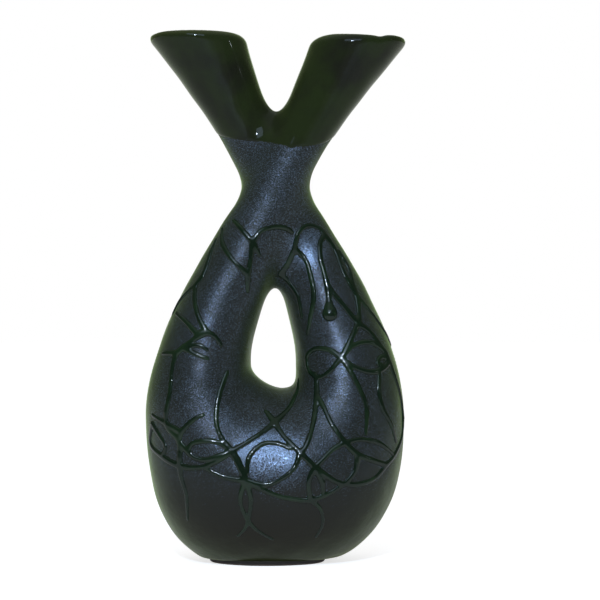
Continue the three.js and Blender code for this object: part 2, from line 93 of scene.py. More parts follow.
# Small uneven places of the rims. The dent is only in the front.
rimShape = {
    "dentDepth": 0.5, "dentAt": 59, "dentWidth": 2.4,
    "outerSwell": 1.4, "swellOver": (56, 68),
    "innerDrop": 1.0, "dropOver": (20, 34),
    "leftDrop": 0.8, "leftDropOver": (60, 74),
}

# Waves of the dipped glaze's edge, and the nick in its front
dipEdge = {"longWave": 0.35, "shortWave": 0.25, "nickDepth": 1.1, "nickAt": 9, "nickWidth": 1.8}

# Lean of the edges from straight down, in degrees, and the length for which they hold it
edgeLeans = {
    "notch": (17.0, 10.0),
    "flare": (38.0, 45.0),
    "outerWaist": (30.0, 45.0, 16.7),
    "innerWaist": (19.7, 29.5, 58.7),
    "flankHold": 50.6,
    "baseCurveHold": 69.0,
    "baseLeftFlatHold": 39.0,
    "baseRightFlatHold": 50.5,
    "loopUpperHold": 22.3,
    "loopCornerHold": 8.0,
    "loopLeftFlatHold": 4.2,
    "loopRightFlatHold": 9.0,
}

middleStation = 3.0               # stations run from 0 at a mouth over 1 at the waist to 3 under the loop
aboveRimStation = -0.12           # the ribbons run on a little past their rims, for cutting the lips
stationSteps = 260
mapStep = 0.75                    # spacing of the front-view map of sections


def smoothStep(value, low, high):
    share = np.clip((value - low) / (high - low), 0, 1)
    return share * share * (3 - 2 * share)


def makeKnot(x, z, lean, before, after):
    slope = math.radians(lean)
    heading = np.array([-math.sin(slope), -math.cos(slope)])
    place = np.array([x, z])
    return {"place": place, "arrive": place - heading * before, "leave": place + heading * after}


def edgePoints(knots, stations):
    points = np.zeros((len(stations), 2))
    for index, (start, end) in enumerate(zip(knots[:-1], knots[1:])):
        t = (stations - index)[:, None]
        curve = ((1 - t) ** 3 * start["place"] + 3 * (1 - t) ** 2 * t * start["leave"]
                 + 3 * (1 - t) * t ** 2 * end["arrive"] + t ** 3 * end["place"])
        inside = (stations >= index) & (stations <= index + 1)
        points[inside] = curve[inside]
    over = stations < 0                                   # straight on past the rim
    slope = 3 * (knots[0]["leave"] - knots[0]["place"])
    points[over] = knots[0]["place"] + stations[over, None] * slope
    return points


def halfDepthAt(stations):
    v = vaseShape
    share = np.clip((stations - 1) / (middleStation - 1), 0, 1)
    swell = np.sin(share * math.pi / 2) ** v["limbSwellPower"]
    below = v["waistHalfDepth"] + (v["bellyHalfDepth"] - v["waistHalfDepth"]) * swell
    flare = (1 - stations) ** v["neckFlarePower"]
    above = v["waistHalfDepth"] + (v["mouthHalfDepth"] - v["waistHalfDepth"]) * flare
    return np.where(stations < 1, above, below)


def crossingOffsetAt(stations):
    reach = np.where(stations < 1, vaseShape["crossingFade"], middleStation - 1)
    share = np.minimum(np.abs(stations - 1) / reach, 1)
    return -vaseShape["crossingOffset"] * np.cos(share * math.pi / 2) ** 2


# turn is 1 for the ribbon of the left limb and -1 for the other, which is turned half round the upright axis
def makeRibbon(turn, notch, rim, rimDrop, mouthReach, loopReach, loopFlatHold, baseFlatHold):
    v = vaseShape
    e = edgeLeans
    outer = [
        makeKnot(notch, rim, e["notch"][0], 0, e["notch"][1]),
        makeKnot(-v["waistOuterReach"], v["waistHeight"], *e["outerWaist"]),
        makeKnot(-v["bellyReach"], v["bellyHeight"], 0, e["flankHold"], e["baseCurveHold"]),
        makeKnot(turn * v["baseOffset"], -v["bellySag"], -90, baseFlatHold, 0),
    ]
    inner = [
        makeKnot(mouthReach, rim - rimDrop, e["flare"][0], 0, e["flare"][1]),
        makeKnot(v["waistInnerReach"], v["waistHeight"], *e["innerWaist"]),
        makeKnot(-loopReach, v["loopSideHeight"], 0, e["loopUpperHold"], e["loopCornerHold"]),
        makeKnot(turn * v["loopBottomOffset"], v["loopBottomHeight"], -90, loopFlatHold, 0),
    ]
    stations = np.linspace(aboveRimStation, middleStation, stationSteps)
    outerLine = edgePoints(outer, stations)
    innerLine = edgePoints(inner, stations)
    across = outerLine - innerLine
    width = np.linalg.norm(across, axis=1)
    flip = np.array([turn, 1])
    return {
        "centre": (outerLine + innerLine) / 2 * flip,
        "across": across / width[:, None] * flip,
        "halfWidth": width / 2,
        "halfDepth": halfDepthAt(stations),
        "offset": crossingOffsetAt(stations) * turn,
        "station": stations,
    }


# For every point of the front view: the section of the ribbon that it lies on, and how far along that section
def mapRibbon(ribbon, xs, zs):
    x, z = np.meshgrid(xs, zs, indexing="ij")
    keys = ("along", "halfWidth", "halfDepth", "offset", "station")
    found = {key: np.full(x.shape, np.nan) for key in keys}
    best = np.full(x.shape, np.inf)
    previous = None
    for i in range(stationSteps):
        dx = x - ribbon["centre"][i, 0]
        dz = z - ribbon["centre"][i, 1]
        ux, uz = ribbon["across"][i]
        past = dx * uz - dz * ux
        along = dx * ux + dz * uz
        if previous is not None:
            pastBefore, alongBefore = previous
            crossed = (past * pastBefore <= 0) & (past != pastBefore)
            share = np.where(crossed, pastBefore / np.where(crossed, pastBefore - past, 1), 0)
            here = {"along": alongBefore + (along - alongBefore) * share}
            for key in keys[1:]:
                here[key] = ribbon[key][i - 1] + (ribbon[key][i] - ribbon[key][i - 1]) * share
            outside = np.abs(here["along"]) - here["halfWidth"]
            better = crossed & (outside < best)
            best = np.where(better, outside, best)
            for key in keys:
                found[key] = np.where(better, here[key], found[key])
        previous = (past, along)
    return found


print("drawing the ribbons")
v = vaseShape
leftRibbon = makeRibbon(1, v["rightNotch"], v["rightRim"], v["rightRimDrop"], v["rightMouthReach"],
                        v["loopLeftReach"], edgeLeans["loopLeftFlatHold"], edgeLeans["baseLeftFlatHold"])
rightRibbon = makeRibbon(-1, v["leftNotch"], v["leftRim"], 0, v["leftMouthReach"],
                         v["loopRightReach"], edgeLeans["loopRightFlatHold"], edgeLeans["baseRightFlatHold"])
mapXs = np.arange(-90, 90.1, mapStep)
mapZs = np.arange(-15, 312.1, mapStep)
ribbonMaps = [mapRibbon(ribbon, mapXs, mapZs) for ribbon in (leftRibbon, rightRibbon)]


def readMap(found, x, z):
    column = np.clip((x - mapXs[0]) / mapStep, 0, len(mapXs) - 1.001)
    row = np.clip((z - mapZs[0]) / mapStep, 0, len(mapZs) - 1.001)
    i = column.astype(int)
    j = row.astype(int)
    fx = column - i
    fz = row - j
    # next to the middle section only some corners of a cell lie on this ribbon: the nearest one is read there
    ni = i + (fx > 0.5)
    nj = j + (fz > 0.5)
    values = {}
    for key, grid in found.items():
        mixed = ((grid[i, j] * (1 - fx) + grid[i + 1, j] * fx) * (1 - fz)
                 + (grid[i, j + 1] * (1 - fx) + grid[i + 1, j + 1] * fx) * fz)
        nearest = grid[ni, nj]
        values[key] = np.where(np.isnan(mixed), nearest, mixed)
    return values


def ribbonDistance(section, y, inset):
    halfWidth = section["halfWidth"] - inset
    halfDepth = section["halfDepth"] - inset
    s = section["along"]
    d = y - section["offset"]
    level = np.hypot(s / halfWidth, d / halfDepth)
    steepness = np.hypot(s / halfWidth ** 2, d / halfDepth ** 2) / np.maximum(level, 1e-6)
    distance = (level - 1) / np.maximum(steepness, 1e-6)
    return np.where(np.isnan(distance), 1e3, distance)


# Distance to the joined ribbons, with the clay smoothed into their joints
def bodyDistance(points, inset=0.0):
    sections = [readMap(found, points[:, 0], points[:, 2]) for found in ribbonMaps]
    one, other = [ribbonDistance(section, points[:, 1], inset) for section in sections]
    lower = np.fmax(sections[0]["station"], sections[1]["station"])
    v = vaseShape
    notch = smoothStep(1 - lower, 0, v["notchFilletRise"])
    fillet = v["jointFillet"] + (v["notchFillet"] - v["jointFillet"]) * notch
    reach = np.maximum(fillet * (1 - smoothStep(lower, *v["filletFade"])), 0.01)
    closeness = np.maximum(reach - np.abs(one - other), 0) / reach
    return np.minimum(one, other) - closeness ** 2 * reach / 4 + handWobble(points)


# The unevenness that a hand leaves in coiled and scraped clay: waves some 25 to 100 mm long
def handWobble(points):
    x, y, z = points.T
    wave = (np.sin(x * 0.11 + 0.9 * np.sin(z * 0.061)) * np.sin(z * 0.083 + 0.7 * np.sin(y * 0.07 + 1.0))
            + 0.5 * np.sin(x * 0.23 + y * 0.19 + 2.0) * np.sin(z * 0.19 + 0.5))
    return vaseShape["handWobble"] * wave


def roundedCut(a, b, radius):
    return (np.minimum(np.maximum(a + radius, b + radius), 0)
            + np.hypot(np.maximum(a + radius, 0), np.maximum(b + radius, 0)) - radius)


# Height above the rim of the nearer mouth. The right one has a small dent near its outer end.
def aboveRim(points):
    v = vaseShape
    r = rimShape
    x, y, z = points.T
    slope = v["rightRimDrop"] / (v["rightMouthReach"] - v["rightNotch"])
    rightRim = v["rightRim"] - (x - v["rightNotch"]) * slope
    dent = r["dentDepth"] * np.exp(-((x - r["dentAt"]) / r["dentWidth"]) ** 2) * (y < 0)
    swell = r["outerSwell"] * smoothStep(x, *r["swellOver"])
    lowered = r["innerDrop"] * (1 - smoothStep(x, *r["dropOver"]))
    leftRim = v["leftRim"] - r["leftDrop"] * smoothStep(-x, *r["leftDropOver"])
    return z - np.where(x > 0, rightRim - dent + swell - lowered, leftRim)


# Height above the edge of the dipped glaze, which isn't quite level
def aboveDip(points):
    v = vaseShape
    d = dipEdge
    x, y, z = points.T
    tilt = math.radians(v["dipTilt"])
    edge = v["dipLine"] + y * math.tan(tilt)
    edge = edge + d["longWave"] * np.sin(x * 0.21 + 0.8) + d["shortWave"] * np.sin(y * 0.33 + x * 0.08)
    nick = d["nickDepth"] * np.exp(-((x - d["nickAt"]) / d["nickWidth"]) ** 2) * (y < 0)
    return (z - edge + nick) * math.cos(tilt)


# The clay wall, its skin grown by a coat of glaze on both faces
def wallDistance(points, growth):
    v = vaseShape
    outside = bodyDistance(points) - growth
    hollow = bodyDistance(points, v["wall"]) + growth
    hollow = roundedCut(hollow, v["footHeight"] + v["floor"] - points[:, 2], v["floorCorner"])
    rim = aboveRim(points) - np.maximum(growth, 0)
    outside = roundedCut(outside, rim, v["lipOuterRadius"])
    return roundedCut(outside, -hollow, v["lipInnerRadius"])


def bodyShell(points):
    v = vaseShape
    shell = roundedCut(wallDistance(points, 0.0), v["footHeight"] - points[:, 2], v["bottomCorner"])
    return np.maximum(shell, aboveDip(points) - v["glazeOverlap"])


# The dipped glaze thins out along its line and dives into the clay below it
def mouthShell(points):
    v = vaseShape
    above = aboveDip(points)
    growth = -v["glazeDive"] + (v["glazeDive"] + v["glazeThickness"]) * smoothStep(above, *v["glazeFade"])
    return np.maximum(wallDistance(points, growth), -above - v["glazeOverlap"])


def slopeOf(distance, points, reach=0.05):
    slope = np.zeros_like(points)
    for axis in range(3):
        step = np.zeros(3)
        step[axis] = reach
        slope[:, axis] = (distance(points + step) - distance(points - step)) / (2 * reach)
    return slope


def settle(distance, points, rounds=3, most=1.0):
    for _ in range(rounds):
        value = distance(points)
        slope = slopeOf(distance, points)
        size = np.maximum((slope ** 2).sum(axis=1), 0.05)
        move = -value / size
        step = slope * move[:, None]
        length = np.maximum(np.linalg.norm(step, axis=1), 1e-9)
        points = points + step * np.minimum(1, most / length)[:, None]
    return points


# Surface of a distance field, as quads between the middles of the grid cells that it passes through
def fieldSurface(distance, low, high, spacing):
    axes = [np.arange(low[i], high[i] + spacing, spacing) for i in range(3)]
    shape = [len(axis) for axis in axes]
    values = np.empty(shape, dtype=np.float64)
    y, z = [grid.ravel() for grid in np.meshgrid(axes[1], axes[2], indexing="ij")]
    for i, x in enumerate(axes[0]):
        values[i] = distance(np.stack([np.full(y.shape, x), y, z], axis=1)).reshape(shape[1:])
    inside = values < 0
    total = np.zeros([n - 1 for n in shape] + [3])
    count = np.zeros([n - 1 for n in shape])
    corners = [(a, b, c) for a in (0, 1) for b in (0, 1) for c in (0, 1)]

    def corner(grid, place):
        return grid[tuple(slice(p, n - 1 + p) for p, n in zip(place, shape))]

    for start in corners:
        for axis in range(3):
            if start[axis]:
                continue
            end = tuple(p + (k == axis) for k, p in enumerate(start))
            a, b = corner(values, start), corner(values, end)
            crossed = corner(inside, start) != corner(inside, end)
            share = np.where(crossed, a / np.where(crossed, a - b, 1), 0)
            for k in range(3):
                total[..., k] += np.where(crossed, start[k] + (share if k == axis else 0), 0)
            count += crossed
    used = count > 0
    number = np.full(used.shape, -1)
    number[used] = np.arange(used.sum())
    cell = np.argwhere(used)
    points = (cell + total[used] / count[used][:, None]) * spacing + np.array([axis[0] for axis in axes])
    quads = []
    for axis in range(3):
        b, c = (axis + 1) % 3, (axis + 2) % 3
        lower = [slice(0, n) for n in shape]
        upper = [slice(0, n) for n in shape]
        lower[axis] = slice(0, shape[axis] - 1)
        upper[axis] = slice(1, shape[axis])
        first, second = inside[tuple(lower)], inside[tuple(upper)]
        place = np.argwhere(first != second)
        keep = ((place[:, b] > 0) & (place[:, c] > 0)
                & (place[:, b] < shape[b] - 1) & (place[:, c] < shape[c] - 1))
        place = place[keep]
        leaving = first[tuple(place.T)]
        ring = []
        for db, dc in ((1, 1), (0, 1), (0, 0), (1, 0)):
            near = place.copy()
            near[:, b] -= db
            near[:, c] -= dc
            ring.append(number[tuple(near.T)])
        quad = np.stack(ring, axis=1)
        quad[~leaving] = quad[~leaving][:, ::-1]
        quads.append(quad)
    return settle(distance, points), np.concatenate(quads)


def meshPiece(name, points, faces):
    mesh = bpy.data.meshes.new(name)
    mesh.from_pydata((points * millimetre).tolist(), [], faces.tolist())
    mesh.polygons.foreach_set("use_smooth", [True] * len(mesh.polygons))
    mesh.update()
    piece = bpy.data.objects.new(name, mesh)
    bpy.context.collection.objects.link(piece)
    return piece


bodyGrid = {"spacing": 1.5, "low": (-78, -50, 0), "high": (78, 50, 256)}
mouthGrid = {"spacing": 1.1, "low": (-78, -32, 224), "high": (78, 32, 305)}


# Materials. Sizes inside them are in metres, on Object coordinates.
class NodeBench:
    def __init__(self, tree):
        self.tree = tree

    def add(self, kind, settings=None, **values):
        node = self.tree.nodes.new(kind)
        for name, value in (settings or {}).items():
            setattr(node, name, value)
        for name, value in values.items():
            self.plug(node, name.replace("_", " "), value)
        return node

    def plug(self, node, name, value):
        socket = next(s for s in node.inputs if s.name == name and s.enabled)
        if isinstance(value, bpy.types.NodeSocket):
            self.tree.links.new(value, socket)
        else:
            socket.default_value = value

    def maths(self, operation, a, b=0.0):
        node = self.add("ShaderNodeMath", {"operation": operation})
        for socket, value in zip(node.inputs, (a, b)):
            if isinstance(value, bpy.types.NodeSocket):
                self.tree.links.new(value, socket)
            else:
                socket.default_value = value
        return node.outputs[0]

    def blend(self, share, first, second):
        node = self.add("ShaderNodeMix", {"data_type": "RGBA"})
        for name, value in (("Factor", share), ("A", first), ("B", second)):
            self.plug(node, name, value)
        return next(s for s in node.outputs if s.enabled)

    def spread(self, value, low, high, toLow=0.0, toHigh=1.0):
        node = self.add("ShaderNodeMapRange", {"interpolation_type": "SMOOTHSTEP"})
        for name, entry in (("Value", value), ("From Min", low), ("From Max", high),
                            ("To Min", toLow), ("To Max", toHigh)):
            self.plug(node, name, entry)
        return node.outputs[0]

    def noise(self, place, scale, detail=2.0, roughness=0.5):
        return self.add("ShaderNodeTexNoise", Vector=place, Scale=scale, Detail=detail,
                        Roughness=roughness).outputs[0]


def startMaterial(name):
    material = bpy.data.materials.new(name)
    material.use_nodes = True
    material.node_tree.nodes.clear()
    bench = NodeBench(material.node_tree)
    shader = bench.add("ShaderNodeBsdfPrincipled")
    output = bench.add("ShaderNodeOutputMaterial")
    material.node_tree.links.new(shader.outputs[0], output.inputs["Surface"])
    place = bench.add("ShaderNodeTexCoord").outputs["Object"]
    return material, bench, shader, place


gunmetalLook = {
    "base": (0.014, 0.016, 0.014, 1),
    "low": (0.013, 0.010, 0.007, 1),       # warmer and darker towards the foot, below lowFrom: a painted reflection of a dim, warm table
    "lowFrom": 0.066,
    "metal": (0.36, 0.48, 0.68, 1),        # bluish crystals in the glaze
    "crystals": 5200.0,                    # crystals a metre
    "metalLevel": 0.652,                   # they show where their noise rises over this
    "metalEdge": 0.06,                     # and are whole when it is this much higher
    "lowLoss": 0.3,                        # crystals fall away low down and under the foot
    "cloudLoss": 0.05,
    "grainLoss": 0.25,
    # Two painted highlights: patches where the crystals are crowded, so they shine paler where the lamps'
    # highlights fall on the belly and inside the right arch: across, up, faded out from, full within, gain
    "paintedHighlights": ((-0.003, 0.060, 0.025, 0.007, 0.086), (0.019, 0.179, 0.016, 0.004, 0.085)),
    "clay": (0.13, 0.095, 0.068, 1),       # bare under the foot
    "clayFrom": (0.0031, 0.0027),
    "roughness": 0.37,
    "patchiness": 0.04,
    "clayRougher": 0.4,
    "duller": 0.16,                        # rougher by this above the limbs, at the waist
    "dullFrom": (0.172, 0.205),
    "ior": 1.25,
    "sheen": 0.62,
    "sheenRoughness": 0.38,
    "sheenTint": (0.44, 0.58, 0.17, 1),
    "grain": 1500.0,                       # grains a metre
    "grainHeight": 0.00012,
    "peelHeight": 0.0006,
}


# Satin gunmetal glaze with fine bluish crystals, fewer of them low on the belly, where the colour turns
# warmer and darker as a painted reflection of a warm table; two patches of crowded crystals are painted
# highlights
def gunmetalGlaze():
    look = gunmetalLook
    material, bench, shader, place = startMaterial("gunmetal glaze")
    across, _, height = bench.add("ShaderNodeSeparateXYZ", Vector=place).outputs
    clouds = bench.noise(place, 22.0, 3.0)
    wander = bench.maths("MULTIPLY", bench.maths("SUBTRACT", clouds, 0.5), 0.02)
    # Painted reflection: the colour turns warmer and darker low on the belly, below lowFrom
    low = bench.spread(bench.maths("ADD", height, wander), look["lowFrom"], 0.000)
    colour = bench.blend(low, look["base"], look["low"])
    grains = bench.noise(place, look["grain"], 2.0, 0.6)
    under = bench.spread(height, *look["clayFrom"])
    colour = bench.blend(under, colour, look["clay"])
    fewer = bench.maths("ADD", bench.maths("MULTIPLY", bench.maths("MAXIMUM", low, under), look["lowLoss"]),
                        bench.maths("MULTIPLY", bench.maths("SUBTRACT", 0.5, clouds), look["cloudLoss"]))
    sparser = bench.maths("MULTIPLY", bench.maths("SUBTRACT", 0.5, grains), look["grainLoss"])
    fewer = bench.maths("ADD", fewer, sparser)
    # Painted highlights: more crystals in the two patches, so that the glaze shines there
    for x, z, far, near, gain in look["paintedHighlights"]:
        aside = bench.maths("SUBTRACT", across, x)
        above = bench.maths("SUBTRACT", height, z)
        away = bench.maths("ADD", bench.maths("MULTIPLY", aside, aside),
                           bench.maths("MULTIPLY", above, above))
        fewer = bench.maths("SUBTRACT", fewer, bench.spread(away, far ** 2, near ** 2, 0.0, gain))
    crystals = bench.noise(place, look["crystals"], 1.0)
    flecks = bench.spread(bench.maths("SUBTRACT", crystals, fewer),
                          look["metalLevel"], look["metalLevel"] + look["metalEdge"])
    bench.plug(shader, "Base Color", bench.blend(flecks, colour, look["metal"]))
    bench.plug(shader, "Metallic", flecks)
    patches = bench.noise(place, 60.0, 2.0)
    smoothest, roughest = look["roughness"] - look["patchiness"], look["roughness"] + look["patchiness"]
    rough = bench.maths("ADD", bench.spread(patches, 0.3, 0.7, smoothest, roughest),
                        bench.maths("MULTIPLY", under, look["clayRougher"]))
    rough = bench.maths("ADD", rough, bench.spread(height, *look["dullFrom"], 0.0, look["duller"]))
    bench.plug(shader, "Roughness", rough)
    fine = bench.add("ShaderNodeBump", Strength=0.5, Distance=look["grainHeight"], Height=grains)
    broad = bench.add("ShaderNodeBump", Strength=0.5, Distance=look["peelHeight"],
                      Height=bench.noise(place, 130.0, 2.0), Normal=fine.outputs[0])
    bench.plug(shader, "Normal", broad.outputs[0])
    bench.plug(shader, "IOR", look["ior"])
    bench.plug(shader, "Sheen Weight", look["sheen"])
    bench.plug(shader, "Sheen Roughness", look["sheenRoughness"])
    bench.plug(shader, "Sheen Tint", look["sheenTint"])
    return material


dippedLook = {
    "deep": (0.0145, 0.0205, 0.0065, 1),
    "brown": (0.010, 0.0105, 0.0065, 1),
    "thinGlazeAndLipHighlight": (0.040, 0.046, 0.014, 1),      # where the glaze thins over an edge, and a painted highlight along the top of the lips
    "rim": (0.2985, 0.3015),
    "rimShare": 0.6,
    "roughness": 0.07,
    "ior": 1.22,
    "sheen": 0.42,
    "sheenRoughness": 0.35,
    "sheenTint": (0.48, 0.62, 0.16, 1),
    "rippleHeight": 0.0009,
}


# Very glossy green-black glaze with brown clouds, thinner and paler over the lips; the paler lip is partly a
# painted highlight
def dippedGloss():
    look = dippedLook
    material, bench, shader, place = startMaterial("dipped gloss")
    height = bench.add("ShaderNodeSeparateXYZ", Vector=place).outputs["Z"]
    clouds = bench.noise(place, 35.0, 3.0)
    wavyLipHeight = bench.maths("ADD", height, bench.maths("MULTIPLY", clouds, 0.004))
    # Paler over the lips: thinner glaze there, and partly a painted highlight along the lip's top
    edge = bench.spread(wavyLipHeight, *look["rim"], 0.0, look["rimShare"])
    colour = bench.blend(bench.spread(clouds, 0.35, 0.65), look["deep"], look["brown"])
    bench.plug(shader, "Base Color", bench.blend(edge, colour, look["thinGlazeAndLipHighlight"]))
    rough = bench.spread(clouds, 0.3, 0.7, look["roughness"] - 0.02, look["roughness"] + 0.03)
    bench.plug(shader, "Roughness", rough)
    ripple = bench.add("ShaderNodeBump", Strength=0.35, Distance=look["rippleHeight"],
                       Height=bench.noise(place, 55.0, 1.5))
    bench.plug(shader, "Normal", ripple.outputs[0])
    bench.plug(shader, "IOR", look["ior"])
    bench.plug(shader, "Sheen Weight", look["sheen"])
    bench.plug(shader, "Sheen Roughness", look["sheenRoughness"])
    bench.plug(shader, "Sheen Tint", look["sheenTint"])
    return material


trailLook = {
    "colour": (0.0045, 0.0112, 0.0050, 1),
    "pooled": (0.0078, 0.0190, 0.0070, 1),
    "roughness": 0.12,
    "ior": 1.35,
    "rippleHeight": 0.0005,
}


# The same kind of gloss, trailed thick
def trailGloss():
    look = trailLook
    material, bench, shader, place = startMaterial("trailed gloss")
    clouds = bench.noise(place, 70.0, 2.0)
    bench.plug(shader, "Base Color",
               bench.blend(bench.spread(clouds, 0.4, 0.7), look["colour"], look["pooled"]))
    bench.plug(shader, "Roughness",
               bench.spread(clouds, 0.3, 0.7, look["roughness"] - 0.03, look["roughness"] + 0.05))
    ripple = bench.add("ShaderNodeBump", Strength=0.3, Distance=look["rippleHeight"],
                       Height=bench.noise(place, 160.0, 1.0))
    bench.plug(shader, "Normal", ripple.outputs[0])
    bench.plug(shader, "IOR", look["ior"])
    return material


clayLook = {
    "colour": (0.115, 0.085, 0.062, 1),
    "dusty": (0.17, 0.135, 0.105, 1),
    "wash": (0.030, 0.026, 0.021, 1),
    "washLine": 0.0009,
    "roughness": 0.85,
    "ior": 1.3,
    "gritHeight": 0.0002,
}


# Dry bare clay under the foot. A dark wash of glaze covers the sides down to the wash line.
def bareClay():
    look = clayLook
    material, bench, shader, place = startMaterial("bare clay")
    grit = bench.noise(place, 900.0, 3.0, 0.65)
    clouds = bench.noise(place, 90.0, 3.0)
    height = bench.add("ShaderNodeSeparateXYZ", Vector=place).outputs["Z"]
    edge = bench.maths("ADD", height, bench.maths("MULTIPLY", bench.maths("SUBTRACT", clouds, 0.5), 0.0012))
    washed = bench.spread(edge, look["washLine"] - 0.0003, look["washLine"] + 0.0001)
    colour = bench.blend(bench.spread(clouds, 0.3, 0.75), look["colour"], look["dusty"])
    bench.plug(shader, "Base Color", bench.blend(washed, colour, look["wash"]))
    rough = bench.spread(grit, 0.3, 0.7, look["roughness"] - 0.1, look["roughness"] + 0.1)
    bench.plug(shader, "Roughness", bench.maths("SUBTRACT", rough, bench.maths("MULTIPLY", washed, 0.3)))
    bench.plug(shader, "IOR", look["ior"])
    bump = bench.add("ShaderNodeBump", Strength=0.6, Distance=look["gritHeight"], Height=grit)
    bench.plug(shader, "Normal", bump.outputs[0])
    return material


print("mixing the glazes")
gunmetal = gunmetalGlaze()
gloss = dippedGloss()
trailedGloss = trailGloss()
clay = bareClay()

print("forming the body")
bodyPiece = meshPiece("glazed_body", *fieldSurface(bodyShell, **bodyGrid))
bodyPiece.data.materials.append(gunmetal)
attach(bodyPiece, "root")
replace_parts(bodyPiece, "belly", "left_limb", "right_limb", "waist")

print("dipping the mouths")
mouthPiece = meshPiece("dipped_mouths", *fieldSurface(mouthShell, **mouthGrid))
mouthPiece.data.materials.append(gloss)
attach(mouthPiece, "root")
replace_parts(mouthPiece, "left_mouth", "right_mouth")

footShape = {
    "reach": 33.0,
    "halfDepth": 23.0,
    "band": 7.0,
    "innerRound": 0.8,
    "outerRound": 2.2,
    "topSpread": 2.0,             # how far its top spreads outwards
    "tuck": 0.3,                  # how far it runs up into the body
    "wear": (0.12, 0.08),
    "sides": 120,
    "cornerSteps": 5,
}


# Oval foot that tapers down, its lower edges rounded
def footRing():
    f = footShape
    top = vaseShape["footHeight"] + f["tuck"]
    section = [(-f["topSpread"], top)]
    corners = ((f["outerRound"], f["outerRound"], 180), (f["band"] - f["innerRound"], f["innerRound"], 270))
    for centre, radius, start in corners:
        for i in range(f["cornerSteps"] + 1):
            angle = math.radians(start + 90 * i / f["cornerSteps"])
            section.append((centre + radius * math.cos(angle), radius + radius * math.sin(angle)))
    section.append((f["band"], top))
    points = []
    for k in range(f["sides"]):
        turn = 2 * math.pi * k / f["sides"]
        out = np.array([math.cos(turn) / f["reach"], math.sin(turn) / f["halfDepth"]])
        out /= np.linalg.norm(out)
        edge = np.array([f["reach"] * math.cos(turn), f["halfDepth"] * math.sin(turn)])
        wear = f["wear"][0] * math.sin(5 * turn + 1) + f["wear"][1] * math.sin(11 * turn)
        for inward, z in section:
            x, y = edge - out * (inward + wear)
            points.append((x + vaseShape["footOffset"], y, z))
    count = len(section)
    faces = []
    for k in range(f["sides"]):
        ahead = (k + 1) % f["sides"]
        for j in range(count):
            nextJ = (j + 1) % count
            faces.append((k * count + j, k * count + nextJ, ahead * count + nextJ, ahead * count + j))
    return np.array(points), np.array(faces)


print("turning the foot")
footPiece = meshPiece("dry_foot", *footRing())
footPiece.data.materials.append(clay)
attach(footPiece, "root")
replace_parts(footPiece, "foot_ring")

